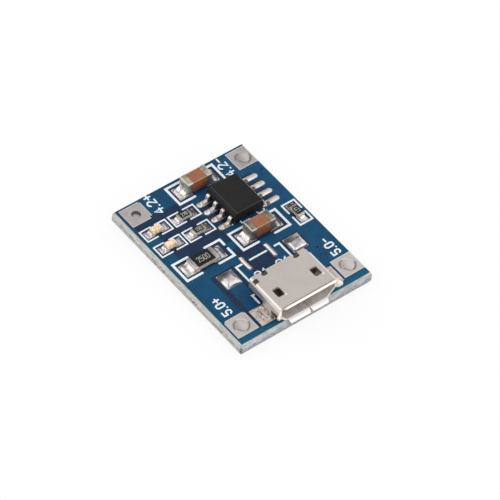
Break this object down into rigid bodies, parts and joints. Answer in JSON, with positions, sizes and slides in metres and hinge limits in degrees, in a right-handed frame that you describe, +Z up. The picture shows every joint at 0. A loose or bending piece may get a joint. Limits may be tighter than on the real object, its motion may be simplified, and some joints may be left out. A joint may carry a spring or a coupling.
{
  "type": "lithium battery charger module",
  "caption": "Small rectangular circuit board with a micro USB socket that overhangs one end, a charge controller chip, surface-mount parts and solder pads at its corners for wires.",
  "frame": {"origin": "middle of the board's underside", "axes": "+Z up from the underside to the side that carries the parts, -Y towards the micro USB socket's mouth, +X to the right seen from above with the socket at the front"},
  "size_m": [0.0176, 0.023, 0.0044],
  "materials": {
    "board": "rough snapped glass epoxy",
    "solder_mask": "semi-gloss blue solder mask",
    "tinned_pad": "matte tin",
    "solder": "bright solder",
    "chip_body": "matte moulded epoxy",
    "brown_ceramic": "satin ceramic",
    "white_ceramic": "matte ceramic",
    "overcoat": "satin black glaze",
    "lens": "clear resin",
    "socket_shell": "satin nickel plate",
    "insulator": "matte dark nylon",
    "contact": "gold plated"
  },
  "bodies": {
    "root": {"battery_minus_pad": "tinned_pad", "battery_plus_pad": "tinned_pad", "board_core": "board", "capacitor_1_ceramic": "brown_ceramic", "capacitor_1_end_left": "solder", "capacitor_1_end_right": "solder", "capacitor_2_ceramic": "brown_ceramic", "capacitor_2_end_left": "solder", "capacitor_2_end_right": "solder", "chip_body": "chip_body", "chip_lead_1": "solder", "chip_lead_2": "solder", "chip_lead_3": "solder", "chip_lead_4": "solder", "chip_lead_5": "solder", "chip_lead_6": "solder", "chip_lead_7": "solder", "chip_lead_8": "solder", "input_minus_pad": "tinned_pad", "input_plus_pad": "tinned_pad", "light_1_base": "white_ceramic", "light_1_end_left": "solder", "light_1_end_right": "solder", "light_1_lens": "lens", "light_2_base": "white_ceramic", "light_2_end_left": "solder", "light_2_end_right": "solder", "light_2_lens": "lens", "resistor_1_ceramic": "white_ceramic", "resistor_1_end_left": "solder", "resistor_1_end_right": "solder", "resistor_1_overcoat": "overcoat", "resistor_2_ceramic": "white_ceramic", "resistor_2_end_left": "solder", "resistor_2_end_right": "solder", "resistor_2_overcoat": "overcoat", "resistor_3_ceramic": "white_ceramic", "resistor_3_end_left": "solder", "resistor_3_end_right": "solder", "resistor_3_overcoat": "overcoat", "sense_resistor_ceramic": "white_ceramic", "sense_resistor_end_left": "solder", "sense_resistor_end_right": "solder", "sense_resistor_overcoat": "overcoat", "solder_bar_left": "solder", "solder_bar_right": "solder", "solder_mask_bottom": "solder_mask", "solder_mask_top": "solder_mask", "spare_pad_left": "solder", "spare_pad_right": "solder", "usb_anchor_left": "solder", "usb_anchor_right": "solder", "usb_contact_1": "contact", "usb_contact_2": "contact", "usb_contact_3": "contact", "usb_contact_4": "contact", "usb_contact_5": "contact", "usb_insulator": "insulator", "usb_shell": "socket_shell"}
  },
  "joints": []
}
